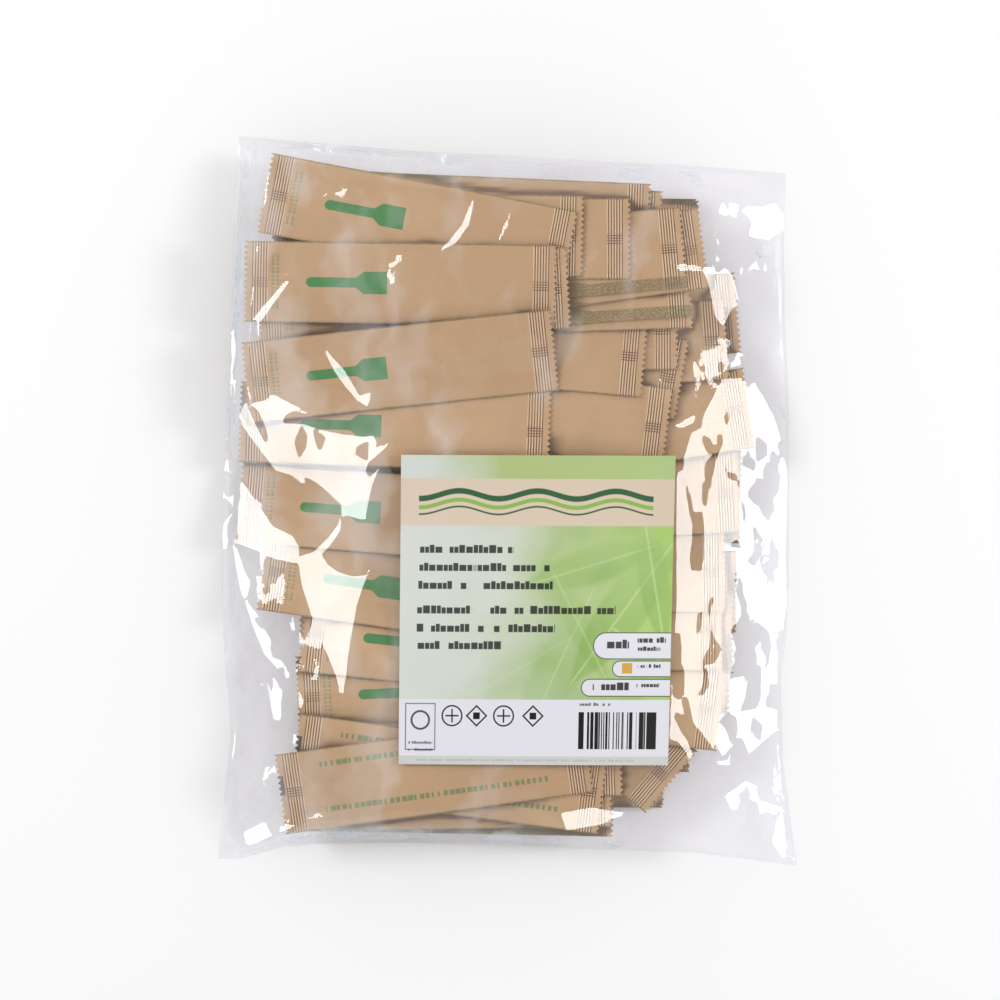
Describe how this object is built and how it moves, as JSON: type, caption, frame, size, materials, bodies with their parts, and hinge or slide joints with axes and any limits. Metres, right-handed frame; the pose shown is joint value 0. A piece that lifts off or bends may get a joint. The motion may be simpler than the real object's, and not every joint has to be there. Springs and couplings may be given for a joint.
{
  "type": "bag of paper-wrapped wooden spoons",
  "caption": "Clear heat-sealed film bag, full of flat kraft-paper sachets that each wrap a wooden ice-cream spoon, with a printed label stuck on its front.",
  "frame": {"origin": "on the floor under the middle of the pack's box, as it lies on its back", "axes": "+Z out of the label, +Y to the top seal, +X to the right as the label is read"},
  "size_m": [0.2234, 0.2816, 0.0452],
  "materials": {
    "kraft_paper": "matt brown kraft paper with crimped ends",
    "film_bag": "clear glossy film",
    "label": "satin printed label"
  },
  "bodies": {
    "root": {"bundle_left_1": "kraft_paper", "bundle_left_2": "kraft_paper", "bundle_left_3": "kraft_paper", "bundle_left_4": "kraft_paper", "bundle_left_5": "kraft_paper", "bundle_left_6": "kraft_paper", "bundle_left_7": "kraft_paper", "bundle_right_1": "kraft_paper", "bundle_right_2": "kraft_paper", "bundle_right_3": "kraft_paper", "bundle_right_4": "kraft_paper", "bundle_right_5": "kraft_paper", "bundle_right_6": "kraft_paper", "bundle_right_7": "kraft_paper", "bundle_upper_1": "kraft_paper", "bundle_upper_2": "kraft_paper", "bundle_upper_3": "kraft_paper", "bundle_upper_4": "kraft_paper", "bundle_upper_5": "kraft_paper", "bundle_upper_6": "kraft_paper", "bundle_upper_7": "kraft_paper", "film_bag": "film_bag", "label": "label", "sachet_foot_1": "kraft_paper", "sachet_foot_2": "kraft_paper", "sachet_foot_3": "kraft_paper", "sachet_foot_4": "kraft_paper", "sachet_foot_5": "kraft_paper", "sachet_left_1": "kraft_paper", "sachet_left_10": "kraft_paper", "sachet_left_11": "kraft_paper", "sachet_left_2": "kraft_paper", "sachet_left_3": "kraft_paper", "sachet_left_4": "kraft_paper", "sachet_left_5": "kraft_paper", "sachet_left_6": "kraft_paper", "sachet_left_7": "kraft_paper", "sachet_left_8": "kraft_paper", "sachet_left_9": "kraft_paper", "sachet_right_10": "kraft_paper", "sachet_right_11": "kraft_paper", "sachet_right_12": "kraft_paper", "sachet_right_13": "kraft_paper", "sachet_right_14": "kraft_paper", "sachet_right_15": "kraft_paper", "sachet_right_3": "kraft_paper", "sachet_right_4": "kraft_paper", "sachet_right_5": "kraft_paper", "sachet_right_6": "kraft_paper", "sachet_right_7": "kraft_paper", "sachet_right_8": "kraft_paper", "sachet_right_9": "kraft_paper", "sachet_right_slanted": "kraft_paper", "sachet_upper_1": "kraft_paper", "sachet_upper_2": "kraft_paper", "sachet_upper_3": "kraft_paper", "sachet_upper_4": "kraft_paper", "sachet_upper_5": "kraft_paper", "sachet_upper_6": "kraft_paper", "sachet_upper_7": "kraft_paper"}
  },
  "joints": []
}
